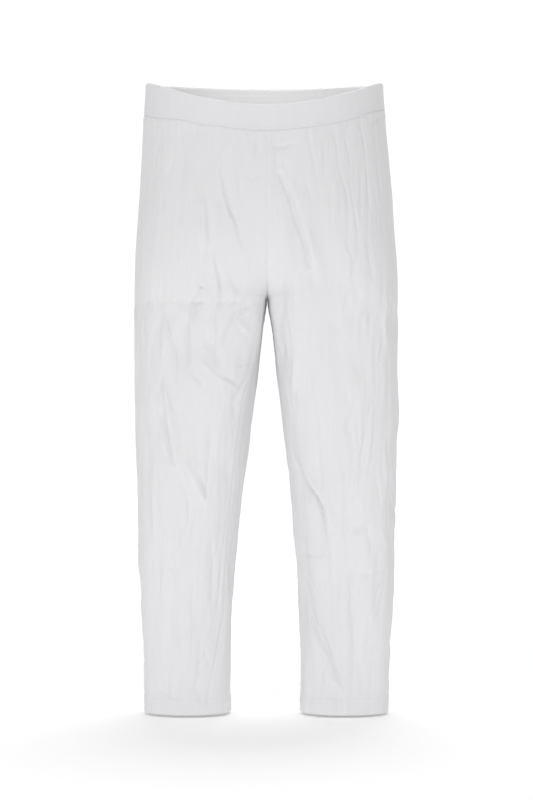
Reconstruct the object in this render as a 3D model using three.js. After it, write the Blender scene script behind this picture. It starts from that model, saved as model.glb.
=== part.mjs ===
import * as THREE from 'three';

// Leggings for a child of about two years, filled out as when they are worn.
// Millimetres, +Z up, the front faces -Y and the wearer's left is +X.
// The origin is the middle of the waist, level with half the height of the waistband at its sides.
// A drop is a distance below the waistband's top edge, measured at the side.

const bandHeight = 21.5;      // elastic casing
const bandWall = 3;           // two layers of jersey round the elastic
const bandEdge = 0.6;         // rounding of its two edges
const bandSteps = 3;
const originDrop = bandHeight / 2;
const frontDip = 23.3;        // how much lower the top edge runs at the centre front
const backRise = 5.3;         // and how much higher at the centre back
const crotchDrop = 166;
const hemDrop = 482;
const hemHeight = 13;         // allowance turned up inside each leg
const clothWall = 1.5;
const hemWall = 2.6;          // two layers
const seamGap = 0.3;
const columns = 38;           // round each leg, from its front edge to its back edge
const riseSteps = 12;         // waistband seam to crotch
const legSteps = 19;          // crotch to hem line
const hemSteps = 2;
const rowSamples = 240;       // places tried round a row to space its columns evenly
const routeDots = 24;         // places tried along a fold
const foldStart = 0.12;       // share of a half wave where a fold's height starts and ends
const foldFacing = { none: 0.05, full: 0.5 };
const leanPower = 1.7;        // how late a row leaves its own level for the level of the fork
const backRim = { leanPower: 8, end: 75 };   // the back waist rises sooner, down to this drop
const widestInner = 40;       // most that an inner side may count, in widths of the outer side

const cloth = { color: 0xe3e3e6, roughness: 0.92, metalness: 0 };

// How far each leg's two sides stand from the middle plane. Above the crotch a leg has no inner side:
// it is cut off by the centre seams.
const outline = [
  { drop: 0, rightOuter: 93.6, leftOuter: 89.2, rightInner: 0.2, leftInner: 0.2 },
  { drop: 26, rightOuter: 94.9, leftOuter: 91, rightInner: 0.2, leftInner: 0.2 },
  { drop: 65, rightOuter: 96.8, leftOuter: 94.8, rightInner: 0.2, leftInner: 0.2 },
  { drop: 120, rightOuter: 100.7, leftOuter: 98.4, rightInner: 0.2, leftInner: 0.2 },
  { drop: 145, rightOuter: 101.8, leftOuter: 99.5, rightInner: 0.2, leftInner: 0.2 },
  { drop: 166, rightOuter: 102.1, leftOuter: 100.2, rightInner: 0.2, leftInner: 0.2 },
  { drop: 176, rightOuter: 102.1, leftOuter: 100.3, rightInner: 1.4, leftInner: 1.4 },
  { drop: 189, rightOuter: 102.1, leftOuter: 100.4, rightInner: 3.1, leftInner: 3.8 },
  { drop: 235, rightOuter: 102, leftOuter: 100.4, rightInner: 9.1, leftInner: 9.1 },
  { drop: 281, rightOuter: 101.1, leftOuter: 99.6, rightInner: 14.9, leftInner: 14.4 },
  { drop: 327, rightOuter: 99.9, leftOuter: 98.6, rightInner: 20.3, leftInner: 19.2 },
  { drop: 373, rightOuter: 98.2, leftOuter: 96.9, rightInner: 24.6, leftInner: 23.1 },
  { drop: 420, rightOuter: 96.4, leftOuter: 95.2, rightInner: 27.2, leftInner: 25.1 },
  { drop: 450, rightOuter: 95, leftOuter: 93.2, rightInner: 28.1, leftInner: 25.8 },
  { drop: 482, rightOuter: 94.2, leftOuter: 92.8, rightInner: 28.1, leftInner: 25.6 }
];

// Depth before and behind the middle, the place of the foremost and rearmost line across the width
// (0 at the inner side, 0.5 in the middle of a leg), and how square the round is on its outer and
// its inner side (2 is an ellipse). Just under the crotch the inner thighs turn back sharply.
const depths = [
  { drop: 0, front: 60, back: 59, crest: 0, outerSquare: 2.3, innerSquare: 2.3 },
  { drop: 30, front: 63, back: 62, crest: 0, outerSquare: 2.35, innerSquare: 2.35 },
  { drop: 65, front: 66, back: 69, crest: 0.04, outerSquare: 2.4, innerSquare: 2.4 },
  { drop: 105, front: 65, back: 74, crest: 0.27, outerSquare: 2.5, innerSquare: 2.6 },
  { drop: 140, front: 61.5, back: 70, crest: 0.45, outerSquare: 2.6, innerSquare: 3.2 },
  { drop: 166, front: 57, back: 61.5, crest: 0.5, outerSquare: 2.6, innerSquare: 4.6 },
  { drop: 182, front: 54.5, back: 57.5, crest: 0.5, outerSquare: 2.55, innerSquare: 4.2 },
  { drop: 205, front: 51.5, back: 52, crest: 0.5, outerSquare: 2.5, innerSquare: 3.3 },
  { drop: 250, front: 47.5, back: 46, crest: 0.5, outerSquare: 2.45, innerSquare: 2.6 },
  { drop: 300, front: 43, back: 40.5, crest: 0.5, outerSquare: 2.4, innerSquare: 2.4 },
  { drop: 350, front: 37, back: 36, crest: 0.5, outerSquare: 2.35, innerSquare: 2.35 },
  { drop: 400, front: 32, back: 34, crest: 0.5, outerSquare: 2.3, innerSquare: 2.3 },
  { drop: 445, front: 28, back: 29, crest: 0.5, outerSquare: 2.25, innerSquare: 2.25 },
  { drop: 482, front: 25, back: 26, crest: 0.5, outerSquare: 2.2, innerSquare: 2.2 }
];

// The fork: the line of the centre seams, down the front, level under the body and up the back.
// rise is how much lower than the side it starts at the waistband, and run is its level length.
const fork = {
  square: 5,
  front: { rise: frontDip, run: 57 },
  back: { rise: -backRise, run: 66 }
};

// How far round towards the front each inseam has turned, in degrees.
const turns = [
  { drop: 170, right: 0, left: 0 },
  { drop: 205, right: 20, left: -4 },
  { drop: 246, right: 40, left: -8 },
  { drop: 400, right: 39, left: -8 },
  { drop: 430, right: 48, left: -6 },
  { drop: 482, right: 65, left: -4 }
];

// The largest folds as routes of [x, drop] seen square on from the front or the back. A negative
// height is a trough. The half-width is where a fold has lost a third of its height.
const folds = [
  { side: 'front', height: -3, half: 6, route: [[9, 70], [16, 92], [23, 118], [29, 142]] },
  { side: 'front', height: 2.4, half: 6, route: [[21, 88], [29, 114], [37, 142]] },
  { side: 'front', height: -2.2, half: 6, route: [[-34, 70], [-31, 90], [-22, 122]] },
  { side: 'front', height: 2.1, half: 6, route: [[-49, 92], [-46, 124]] },
  { side: 'front', height: -2.4, half: 6, route: [[17, 280], [27, 306], [40, 324], [42, 352]] },
  { side: 'front', height: 2.2, half: 6, route: [[28, 292], [41, 316], [45, 344]] },
  { side: 'front', height: -2.4, half: 5, route: [[26, 384], [33, 408], [44, 430], [52, 448]] },
  { side: 'front', height: 2.1, half: 5, route: [[30, 402], [38, 430], [52, 456]] },
  { side: 'front', height: -2.7, half: 5, route: [[-82, 252], [-74, 288]] },
  { side: 'front', height: -2.1, half: 6, route: [[-60, 184], [-60, 214]] },
  { side: 'front', height: 2.1, half: 6, route: [[-61, 292], [-46, 322]] },
  { side: 'back', height: -3, half: 7, route: [[-62, 148], [-34, 164], [-14, 166]] },
  { side: 'back', height: -3, half: 7, route: [[60, 146], [36, 160], [14, 165]] },
  { side: 'back', height: 2.4, half: 7, route: [[-70, 180], [-40, 190]] },
  { side: 'back', height: -2.4, half: 6, route: [[-84, 326], [-58, 344], [-36, 340]] },
  { side: 'back', height: -2.4, half: 6, route: [[82, 318], [60, 336], [34, 334]] },
  { side: 'back', height: 2.2, half: 6, route: [[-78, 352], [-52, 362], [-38, 358]] },
  { side: 'back', height: -2.2, half: 5, route: [[36, 400], [54, 424], [70, 432]] },
  { side: 'back', height: -2.2, half: 5, route: [[-40, 410], [-58, 436]] }
];

// A smooth curve through one column of a table.
function read(table, column, drop) {
  const last = table.length - 1;
  const x = (i) => table[THREE.MathUtils.clamp(i, 0, last)].drop;
  const y = (i) => table[THREE.MathUtils.clamp(i, 0, last)][column];
  const at = THREE.MathUtils.clamp(drop, x(0), x(last));
  let i = 0;
  while (i < last - 1 && at > x(i + 1)) i += 1;
  const span = x(i + 1) - x(i);
  const slope = (k) => {
    const turnsBack = (y(k + 1) - y(k)) * (y(k) - y(k - 1)) <= 0;
    return turnsBack ? 0 : (y(k + 1) - y(k - 1)) / (x(k + 1) - x(k - 1));
  };
  const t = (at - x(i)) / span;
  const t2 = t * t;
  const t3 = t2 * t;
  return (2 * t3 - 3 * t2 + 1) * y(i) + (t3 - 2 * t2 + t) * span * slope(i)
    + (3 * t2 - 2 * t3) * y(i + 1) + (t3 - t2) * span * slope(i + 1);
}

const signedPower = (value, power) => Math.sign(value) * Math.abs(value) ** power;

// Where a row of the panel meets the fork. The row's height at the side gives its share of the way
// along the fork, and the fork is a square path with its corner rounded.
function forkDrop(half, sideDrop) {
  const { rise, run } = fork[half];
  const top = bandHeight + seamGap;
  if (sideDrop >= crotchDrop) return sideDrop;
  if (sideDrop <= top) return sideDrop + rise;
  const height = crotchDrop - top - rise;
  const along = (crotchDrop - sideDrop) / (crotchDrop - top) * (run + height);
  const across = Math.min(along / run, 1);
  const up = Math.min(1, 1 - (along - run) / height);
  return crotchDrop - height + height * up / (across ** fork.square + up ** fork.square) ** (1 / fork.square);
}

// How far out the fork lies at a drop, as a share of the depth there.
function forkReach(half, drop) {
  const top = bandHeight + seamGap + fork[half].rise;
  const down = THREE.MathUtils.clamp((drop - top) / (crotchDrop - top), 0, 1);
  return (1 - down ** fork.square) ** (1 / fork.square);
}

// A point of the cloth's outer face. around runs from 0 at the front edge, past the side, to 1 at
// the back edge.
function facePoint(leg, sideDrop, around) {
  const way = 2 * around - 1;
  const half = way < 0 ? 'front' : 'back';
  const atRim = half === 'back' ? 1 - THREE.MathUtils.smoothstep(sideDrop, bandHeight, backRim.end) : 0;
  const power = THREE.MathUtils.lerp(leanPower, backRim.leanPower, atRim);
  const lean = 1 - Math.cos(Math.min(Math.abs(way), 1) * Math.PI / 2) ** power;
  const drop = sideDrop + (forkDrop(half, sideDrop) - sideDrop) * lean;
  const outer = read(outline, `${leg}Outer`, drop);
  const innerSquare = read(depths, 'innerSquare', drop);
  let inner = read(outline, `${leg}Inner`, drop);
  const crest = inner + (outer - inner) * read(depths, 'crest', drop);
  let reach = Math.PI;
  if (drop < crotchDrop) {
    reach -= Math.asin(forkReach(half, drop) ** (innerSquare / 2));
    inner = crest - (crest - seamGap / 2) / Math.abs(Math.cos(reach)) ** (2 / innerSquare);
    inner = Math.max(inner, -widestInner * outer);
  }
  const angle = way * reach + read(turns, leg, drop) * Math.PI / 180;
  const c = Math.cos(angle);
  const s = Math.sin(angle);
  const square = c > 0 ? read(depths, 'outerSquare', drop) : innerSquare;
  const x = crest + (c > 0 ? outer - crest : crest - inner) * signedPower(c, 2 / square);
  const y = read(depths, s < 0 ? 'front' : 'back', drop) * signedPower(s, 2 / square);
  const hand = leg === 'left' ? 1 : -1;
  return new THREE.Vector3(hand * x, y, originDrop - drop);
}

// Places round a row that are the same length of cloth apart.
function evenPlaces(leg, sideDrop) {
  const points = Array.from(
    { length: rowSamples + 1 },
    (_, i) => facePoint(leg, sideDrop, i / rowSamples)
  );
  const lengths = [0];
  for (let i = 1; i <= rowSamples; i += 1) {
    lengths.push(lengths[i - 1] + points[i].distanceTo(points[i - 1]));
  }
  const places = [];
  let i = 0;
  for (let k = 0; k <= columns; k += 1) {
    const goal = lengths[rowSamples] * k / columns;
    while (i < rowSamples - 1 && lengths[i + 1] < goal) i += 1;
    places.push((i + (goal - lengths[i]) / (lengths[i + 1] - lengths[i])) / rowSamples);
  }
  return places;
}

function faceNormal(leg, sideDrop, around) {
  const rise = 1;
  const step = 0.004;
  const down = facePoint(leg, sideDrop + rise, around).sub(facePoint(leg, sideDrop - rise, around));
  const across = facePoint(leg, sideDrop, around + step).sub(facePoint(leg, sideDrop, around - step));
  const normal = down.cross(across).normalize();
  return leg === 'left' ? normal : normal.negate();
}

// How far the folds lift or sink the cloth at a point.
function foldHeight(point, normal) {
  let height = 0;
  for (const fold of folds) {
    const facing = (fold.side === 'front' ? -1 : 1) * normal.y;
    const shown = THREE.MathUtils.smoothstep(facing, foldFacing.none, foldFacing.full);
    if (shown === 0) continue;
    const route = fold.route.map(([x, drop]) => new THREE.Vector3(x, 0, originDrop - drop));
    const curve = new THREE.CatmullRomCurve3(route);
    const dots = curve.getSpacedPoints(routeDots);
    let nearest = Infinity;
    let place = 0;
    dots.forEach((dot, i) => {
      const away = Math.hypot(dot.x - point.x, dot.z - point.z);
      if (away < nearest) {
        nearest = away;
        place = i / routeDots;
      }
    });
    const taper = Math.sin(Math.PI * THREE.MathUtils.lerp(foldStart, 1 - foldStart, place));
    height += fold.height * shown * taper * Math.exp(-((nearest / fold.half) ** 2));
  }
  return height;
}

// A closed wall from two grids of points, outer and inner, of the same rows and columns. A ring
// closes on itself round its columns. Each cell is split across its shorter diagonal.
function wallGeometry(outer, inner, ring) {
  const rows = outer.length;
  const count = outer[0].length;
  const positions = [];
  for (const grid of [outer, inner]) {
    for (const row of grid) {
      for (const p of row) positions.push(p.x, p.y, p.z);
    }
  }
  const at = (layer, row, column) => layer * rows * count + row * count + (column % count);
  const index = [];
  const point = (i) => new THREE.Vector3().fromArray(positions, 3 * i);
  const quad = (a, b, c, d) => {
    const alongAC = point(a).distanceTo(point(c)) <= point(b).distanceTo(point(d));
    if (alongAC) index.push(a, c, b, a, d, c);
    else index.push(a, d, b, b, d, c);
  };
  const spans = ring ? count : count - 1;
  for (let r = 0; r < rows - 1; r += 1) {
    for (let k = 0; k < spans; k += 1) {
      quad(at(0, r, k), at(0, r + 1, k), at(0, r + 1, k + 1), at(0, r, k + 1));
      quad(at(1, r, k), at(1, r, k + 1), at(1, r + 1, k + 1), at(1, r + 1, k));
    }
  }
  for (let k = 0; k < spans; k += 1) {
    quad(at(0, 0, k), at(0, 0, k + 1), at(1, 0, k + 1), at(1, 0, k));
    quad(at(0, rows - 1, k), at(1, rows - 1, k), at(1, rows - 1, k + 1), at(0, rows - 1, k + 1));
  }
  for (let r = 0; r < rows - 1 && !ring; r += 1) {
    const end = count - 1;
    quad(at(0, r, 0), at(1, r, 0), at(1, r + 1, 0), at(0, r + 1, 0));
    quad(at(0, r, end), at(0, r + 1, end), at(1, r + 1, end), at(1, r, end));
  }
  const geometry = new THREE.BufferGeometry();
  geometry.setAttribute('position', new THREE.Float32BufferAttribute(positions, 3));
  geometry.setIndex(index);
  geometry.computeVertexNormals();
  return geometry;
}

function steps(from, to, count) {
  return Array.from({ length: count }, (_, i) => from + (to - from) * i / count);
}

// One leg: a single panel wrapped round it, with its edges meeting at the inseam below the crotch
// and at the centre seams above it.
function legMesh(leg) {
  const rows = [
    ...steps(bandHeight + seamGap, crotchDrop, riseSteps),
    ...steps(crotchDrop, hemDrop - hemHeight, legSteps),
    ...steps(hemDrop - hemHeight, hemDrop, hemSteps),
    hemDrop
  ];
  const outer = [];
  const inner = [];
  rows.forEach((sideDrop, r) => {
    const face = [];
    const underside = [];
    const wall = sideDrop > hemDrop - hemHeight ? hemWall : clothWall;
    const places = evenPlaces(leg, sideDrop);
    for (let k = 0; k <= columns; k += 1) {
      const point = facePoint(leg, sideDrop, places[k]);
      const normal = faceNormal(leg, sideDrop, places[k]);
      if (sideDrop >= crotchDrop && (k === 0 || k === columns)) {
        const next = facePoint(leg, sideDrop, places[k === 0 ? 1 : columns - 1]);
        point.addScaledVector(next.sub(point).normalize(), seamGap / 2);
      }
      const lifted = point.clone().addScaledVector(normal, foldHeight(point, normal));
      if (r === 0 || r === rows.length - 1) lifted.z = point.z;
      face.push(lifted);
      const under = lifted.clone().addScaledVector(normal, -wall);
      if (r === 0 || r === rows.length - 1) under.z = lifted.z;
      underside.push(under);
    }
    outer.push(face);
    inner.push(underside);
  });
  const geometry = wallGeometry(outer, inner, false);
  if (leg === 'left') flip(geometry);
  return new THREE.Mesh(geometry, new THREE.MeshStandardMaterial(cloth));
}

function flip(geometry) {
  const index = geometry.index.array;
  for (let i = 0; i < index.length; i += 3) {
    [index[i + 1], index[i + 2]] = [index[i + 2], index[i + 1]];
  }
  geometry.computeVertexNormals();
}

// The casing: one ring round the top of both legs, rounded a little at its two edges.
function bandMesh() {
  const ringPoints = (sideDrop, inset) => {
    const row = [];
    for (const leg of ['right', 'left']) {
      const places = evenPlaces(leg, sideDrop);
      if (leg === 'left') places.reverse();
      for (let k = 0; k < columns; k += 1) {
        const around = places[k];
        const point = facePoint(leg, sideDrop, around);
        if (k === 0) point.x = 0;
        const normal = faceNormal(leg, sideDrop, around);
        normal.z = 0;
        normal.normalize();
        row.push(point.addScaledVector(normal, -inset));
      }
    }
    return row;
  };
  const outer = [];
  const inner = [];
  for (let i = 0; i <= bandSteps; i += 1) {
    const share = i / bandSteps;
    const round = share === 0 || share === 1 ? bandEdge : 0;
    outer.push(ringPoints(bandHeight * share, round));
    inner.push(ringPoints(bandHeight * share, bandWall - round));
  }
  const geometry = wallGeometry(outer, inner, true);
  return new THREE.Mesh(geometry, new THREE.MeshStandardMaterial(cloth));
}

const pieces = {
  leg_left: legMesh('left'),
  leg_right: legMesh('right'),
  waistband: bandMesh()
};

const group = new THREE.Group();
for (const [name, mesh] of Object.entries(pieces)) {
  mesh.name = name;
  group.add(mesh);
}

export default group;
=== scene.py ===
import math

import bmesh
import bpy
import numpy as np
from mathutils import Matrix, Vector, noise


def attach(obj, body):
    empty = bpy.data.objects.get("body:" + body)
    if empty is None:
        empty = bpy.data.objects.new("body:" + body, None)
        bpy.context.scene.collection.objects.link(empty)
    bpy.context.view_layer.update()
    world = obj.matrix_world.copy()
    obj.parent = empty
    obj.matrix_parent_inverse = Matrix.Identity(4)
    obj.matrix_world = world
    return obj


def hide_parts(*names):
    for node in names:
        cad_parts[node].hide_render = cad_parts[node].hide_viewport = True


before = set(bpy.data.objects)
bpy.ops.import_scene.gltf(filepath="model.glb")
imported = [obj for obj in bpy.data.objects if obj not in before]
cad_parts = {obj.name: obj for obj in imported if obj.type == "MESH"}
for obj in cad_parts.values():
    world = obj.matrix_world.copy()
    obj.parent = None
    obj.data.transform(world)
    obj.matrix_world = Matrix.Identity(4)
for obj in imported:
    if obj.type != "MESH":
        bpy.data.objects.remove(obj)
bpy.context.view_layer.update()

# A child's leggings: two leg panels sewn at the inseam and the centre seams, and an elastic casing.
# Sizes are in millimetres here and become metres where a mesh is made. A drop is measured down
# from the casing's top edge at the side.
mm = 0.001
print("frame loaded:", sorted(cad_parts))


# The cut, as in the solids.

def table(columns, rows):
    # rows as dictionaries, with the columns named in one string
    return [dict(zip(columns.split(), row)) for row in rows]


cut = {
    "bandHeight": 21.5,
    "frontDip": 23.3,     # how much lower the casing's top runs at the centre front
    "backRise": 5.3,
    "crotchDrop": 166.0,
    "hemDrop": 482.0,
    "hemTurn": 13.0,      # cloth folded up inside each hem
    "panelTop": 21.8,     # where the panels start, under the casing
    "seamGap": 0.04,
    "jersey": 0.9,        # thickness of one layer
}

forkPath = {"square": 5, "frontRun": 57.0, "backRun": 66.0, "leanPower": 1.7, "widest": 40,
            "rimPower": 8, "rimEnd": 75}      # the back waist rises sooner, down to this drop

outline = table("drop rightOuter leftOuter rightInner leftInner", [
    (0, 93.6, 89.2, 0.2, 0.2),
    (26, 94.9, 91, 0.2, 0.2),
    (65, 96.8, 94.8, 0.2, 0.2),
    (120, 100.7, 98.4, 0.2, 0.2),
    (145, 101.8, 99.5, 0.2, 0.2),
    (166, 102.1, 100.2, 0.2, 0.2),
    (176, 102.1, 100.3, 1.4, 1.4),
    (189, 102.1, 100.4, 3.1, 3.8),
    (235, 102, 100.4, 9.1, 9.1),
    (281, 101.1, 99.6, 14.9, 14.4),
    (327, 99.9, 98.6, 20.3, 19.2),
    (373, 98.2, 96.9, 24.6, 23.1),
    (420, 96.4, 95.2, 27.2, 25.1),
    (450, 95, 93.2, 28.1, 25.8),
    (482, 94.2, 92.8, 28.1, 25.6),
])

depths = table("drop front back crest outerSquare innerSquare", [
    (0, 60, 59, 0, 2.3, 2.3),
    (30, 63, 62, 0, 2.35, 2.35),
    (65, 66, 69, 0.04, 2.4, 2.4),
    (105, 65, 74, 0.27, 2.5, 2.6),
    (140, 61.5, 70, 0.45, 2.6, 3.2),
    (166, 57, 61.5, 0.5, 2.6, 4.6),
    (182, 54.5, 57.5, 0.5, 2.55, 4.2),
    (205, 51.5, 52, 0.5, 2.5, 3.3),
    (250, 47.5, 46, 0.5, 2.45, 2.6),
    (300, 43, 40.5, 0.5, 2.4, 2.4),
    (350, 37, 36, 0.5, 2.35, 2.35),
    (400, 32, 34, 0.5, 2.3, 2.3),
    (445, 28, 29, 0.5, 2.25, 2.25),
    (482, 25, 26, 0.5, 2.2, 2.2),
])

turns = table("drop right left", [     # how far each inseam has turned towards the front, in degrees
    (170, 0, 0),
    (205, 20, -4),
    (246, 40, -8),
    (400, 39, -8),
    (430, 48, -6),
    (482, 65, -4),
])


def readTable(levels, name, drop):
    # a smooth curve through one column, level where the column turns back
    places = np.array([row["drop"] for row in levels], float)
    values = np.array([row[name] for row in levels], float)
    steps = np.diff(values)
    slopes = np.zeros(len(values))
    steady = steps[:-1] * steps[1:] > 0
    slopes[1:-1] = np.where(steady, (values[2:] - values[:-2]) / (places[2:] - places[:-2]), 0)
    at = np.clip(drop, places[0], places[-1])
    k = np.clip(np.searchsorted(places, at, side="right") - 1, 0, len(places) - 2)
    span = places[k + 1] - places[k]
    t = (at - places[k]) / span
    start = (2 * t**3 - 3 * t**2 + 1) * values[k] + (t**3 - 2 * t**2 + t) * span * slopes[k]
    end = (3 * t**2 - 2 * t**3) * values[k + 1] + (t**3 - t**2) * span * slopes[k + 1]
    return start + end


def signedPower(value, power):
    return np.sign(value) * np.abs(value) ** power


def smoothStep(value, low, high):
    t = np.clip((value - low) / (high - low), 0, 1)
    return t * t * (3 - 2 * t)


def bump(value, middle, half):
    return np.exp(-((value - middle) / half) ** 2)


def forkDrop(front, sideDrop):
    # where a row meets the centre seams, which run down the front, level under the body and up the back
    rise = np.where(front, cut["frontDip"], -cut["backRise"])
    run = np.where(front, forkPath["frontRun"], forkPath["backRun"])
    square = forkPath["square"]
    height = cut["crotchDrop"] - cut["panelTop"] - rise
    along = (cut["crotchDrop"] - sideDrop) / (cut["crotchDrop"] - cut["panelTop"]) * (run + height)
    across = np.clip(along / run, 0, 1)
    up = np.clip(1 - (along - run) / height, 0, 1)
    corner = (across**square + up**square) ** (1 / square)
    between = cut["crotchDrop"] - height + height * up / corner
    above = np.where(sideDrop <= cut["panelTop"], sideDrop + rise, between)
    return np.where(sideDrop >= cut["crotchDrop"], sideDrop, above)


def forkReach(front, drop):
    square = forkPath["square"]
    top = cut["panelTop"] + np.where(front, cut["frontDip"], -cut["backRise"])
    down = np.clip((drop - top) / (cut["crotchDrop"] - top), 0, 1)
    return (1 - down**square) ** (1 / square)


def facePoints(leg, sideDrop, around):
    # the cloth's outer face: around is 0 at the front edge, then past the side to 1 at the back edge
    way = 2 * around - 1
    front = way < 0
    atRim = np.where(front, 0, 1 - smoothStep(sideDrop, cut["bandHeight"], forkPath["rimEnd"]))
    power = forkPath["leanPower"] + (forkPath["rimPower"] - forkPath["leanPower"]) * atRim
    lean = 1 - np.cos(np.minimum(np.abs(way), 1) * math.pi / 2) ** power
    drop = sideDrop + (forkDrop(front, sideDrop) - sideDrop) * lean
    outer = readTable(outline, leg + "Outer", drop)
    inner = readTable(outline, leg + "Inner", drop)
    innerSquare = readTable(depths, "innerSquare", drop)
    crest = inner + (outer - inner) * readTable(depths, "crest", drop)
    above = drop < cut["crotchDrop"]
    cutOff = math.pi - np.arcsin(forkReach(front, drop) ** (innerSquare / 2))
    reach = np.where(above, cutOff, math.pi)
    away = np.maximum(np.abs(np.cos(reach)) ** (2 / innerSquare), 1e-6)
    drawn = np.maximum(crest - (crest - cut["seamGap"] / 2) / away, -forkPath["widest"] * outer)
    inner = np.where(above, drawn, inner)
    angle = way * reach + np.radians(readTable(turns, leg, drop))
    c, s = np.cos(angle), np.sin(angle)
    square = np.where(c > 0, readTable(depths, "outerSquare", drop), innerSquare)
    x = crest + np.where(c > 0, outer - crest, crest - inner) * signedPower(c, 2 / square)
    depth = np.where(s < 0, readTable(depths, "front", drop), readTable(depths, "back", drop))
    y = depth * signedPower(s, 2 / square)
    hand = 1 if leg == "left" else -1
    return np.stack([hand * x, y, cut["bandHeight"] / 2 - drop], -1)


def spacedOut(count, fineEnds, fineShare, reach, coarser=0.0):
    # 0 to 1 in count steps that are finer towards both ends, and coarser past the middle
    middle = (np.arange(count) + 0.5) / count
    near = np.exp(-(middle / reach) ** 2) * fineEnds[0] + np.exp(-((1 - middle) / reach) ** 2) * fineEnds[1]
    weights = (1 - (1 - fineShare) * near) * (1 + coarser * smoothStep(middle, 0.5, 0.7))
    total = np.concatenate([[0], np.cumsum(weights)])
    return total / total[-1]


def evenPlaces(leg, rows, goals):
    # places round each row that are the wanted shares of its length apart
    tries = np.linspace(0, 1, 601)
    points = facePoints(leg, rows[:, None], tries[None, :])
    lengths = np.linalg.norm(np.diff(points, axis=1), axis=2)
    lengths = np.concatenate([np.zeros((len(rows), 1)), np.cumsum(lengths, axis=1)], axis=1)
    return np.array([np.interp(goals * line[-1], line, tries) for line in lengths]), lengths[:, -1]


def faceNormals(leg, rows, around):
    rise, step = 0.6, 0.003
    down = facePoints(leg, rows + rise, around) - facePoints(leg, rows - rise, around)
    across = facePoints(leg, rows, around + step) - facePoints(leg, rows, around - step)
    normal = np.cross(down, across) * (1 if leg == "left" else -1)
    return normal / np.maximum(np.linalg.norm(normal, axis=-1, keepdims=True), 1e-9)


# Folds.
# Routes are [x, drop] seen square on from the front or the back, or [y, drop] seen from a side.
# A negative height is a trough. At the half-width a fold has lost two thirds of its height.
# A shoulder is a softer opposite swelling beside it: on its left if negative, on its right if positive.

broadFrontFolds = table("height half shoulder route", [
    (-2.6, 6, 0, [[9, 70], [16, 92], [23, 118], [29, 142]]),
    (-2.0, 3.5, 0, [[8, 158], [9, 175], [11, 195], [14, 222]]),
    (2.0, 6, 0, [[21, 88], [29, 114], [37, 142]]),
    (-1.9, 6, 0, [[-34, 70], [-31, 90], [-22, 122]]),
    (1.8, 6, 0, [[-49, 92], [-46, 124]]),
    (-3.0, 6, 0, [[17, 280], [27, 306], [40, 324], [42, 352]]),
    (1.9, 6, 0, [[28, 292], [41, 316], [45, 344]]),
    (-3.0, 5, 0, [[26, 384], [33, 408], [44, 430], [52, 448]]),
    (1.8, 5, 0, [[30, 402], [38, 430], [52, 456]]),
    (-2.2, 5, 0, [[-82, 252], [-74, 288]]),
    (-1.8, 6, 0, [[-60, 184], [-60, 214]]),
    (1.0, 6, 0, [[-61, 292], [-46, 322]]),
])

broadBackFolds = table("height half shoulder route", [
    (-3.0, 7, 0, [[-62, 148], [-34, 164], [-14, 166]]),
    (-3.0, 7, 0, [[60, 146], [36, 160], [14, 165]]),
    (2.4, 7, 0, [[-70, 180], [-40, 190]]),
    (-2.4, 6, 0, [[-84, 326], [-58, 344], [-36, 340]]),
    (-2.4, 6, 0, [[82, 318], [60, 336], [34, 334]]),
    (2.2, 6, 0, [[-78, 352], [-52, 362], [-38, 358]]),
    (-2.2, 5, 0, [[36, 400], [54, 424], [70, 432]]),
    (-2.2, 5, 0, [[-40, 410], [-58, 436]]),
])

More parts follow.
